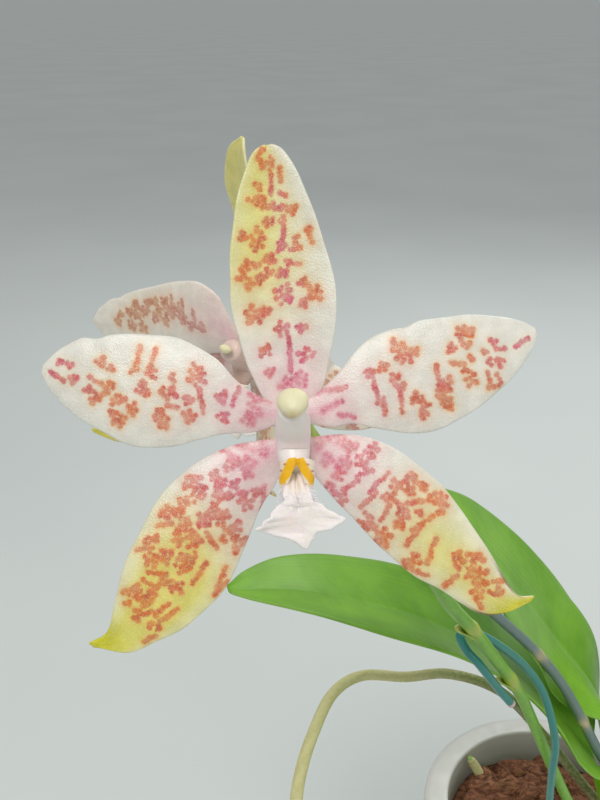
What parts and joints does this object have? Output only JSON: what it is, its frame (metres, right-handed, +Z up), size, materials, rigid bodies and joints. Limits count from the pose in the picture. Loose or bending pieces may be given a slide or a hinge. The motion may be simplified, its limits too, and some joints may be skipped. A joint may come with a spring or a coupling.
{
  "type": "potted moth orchid",
  "caption": "Potted orchid in bloom: arching leaves on a short stem, aerial roots and a wired spike with star-shaped spotted flowers, standing in bark in a rimmed plastic pot.",
  "frame": {"origin": "middle of the flat underside of the pot, on the surface it stands on", "axes": "+Z up along the pot's axis; -Y towards the front, where the front flower faces; +X to the right as seen from the front"},
  "size_m": [0.3156, 0.2193, 0.3828],
  "materials": {
    "pot_plastic": "pale grey-white translucent plastic, satin",
    "bark": "rough reddish-brown bark chips",
    "stem_green": "living stem, dry at its leaf scars",
    "leaf_green": "living leaf, waxy satin green",
    "root_cream": "living aerial root, matt velamen with a green tip",
    "spike_green": "living flower stalk, satin",
    "old_spike_grey": "older stalk, slate grey with a cream node",
    "coated_wire": "steel wire in teal-green coating, bare at its cut end",
    "tepal": "living waxy sepal or petal, white with orange-red and magenta bars",
    "column_pink": "living column, white flushed with pink",
    "anther_cap": "pale yellow-green cap",
    "lip_white": "white anchor-shaped lip with fine hairs",
    "lip_lobe_orange": "orange-yellow side lobes"
  },
  "bodies": {
    "root": {"pot": "pot_plastic", "bark_mix": "bark", "stem": "stem_green", "leaf_lower_left": "leaf_green", "leaf_upper_left": "leaf_green", "leaf_lower_right": "leaf_green", "leaf_upper_right": "leaf_green", "leaf_young": "leaf_green", "root_aerial_left": "root_cream", "root_aerial_right": "root_cream", "root_into_bark": "root_cream", "root_tip_at_rim": "root_cream", "flower_spike": "spike_green", "old_spike": "old_spike_grey", "wire_support": "coated_wire", "pedicel_front": "spike_green", "pedicel_rear": "spike_green", "dorsal_sepal_front": "tepal", "petal_left_front": "tepal", "petal_right_front": "tepal", "lateral_sepal_left_front": "tepal", "lateral_sepal_right_front": "tepal", "column_front": "column_pink", "anther_cap_front": "anther_cap", "lip_front": "lip_white", "lip_side_lobes_front": "lip_lobe_orange", "dorsal_sepal_rear": "tepal", "petal_left_rear": "tepal", "petal_right_rear": "tepal", "lateral_sepal_left_rear": "tepal", "lateral_sepal_right_rear": "tepal", "column_rear": "column_pink", "anther_cap_rear": "anther_cap", "lip_rear": "lip_white", "lip_side_lobes_rear": "lip_lobe_orange"}
  },
  "joints": []
}
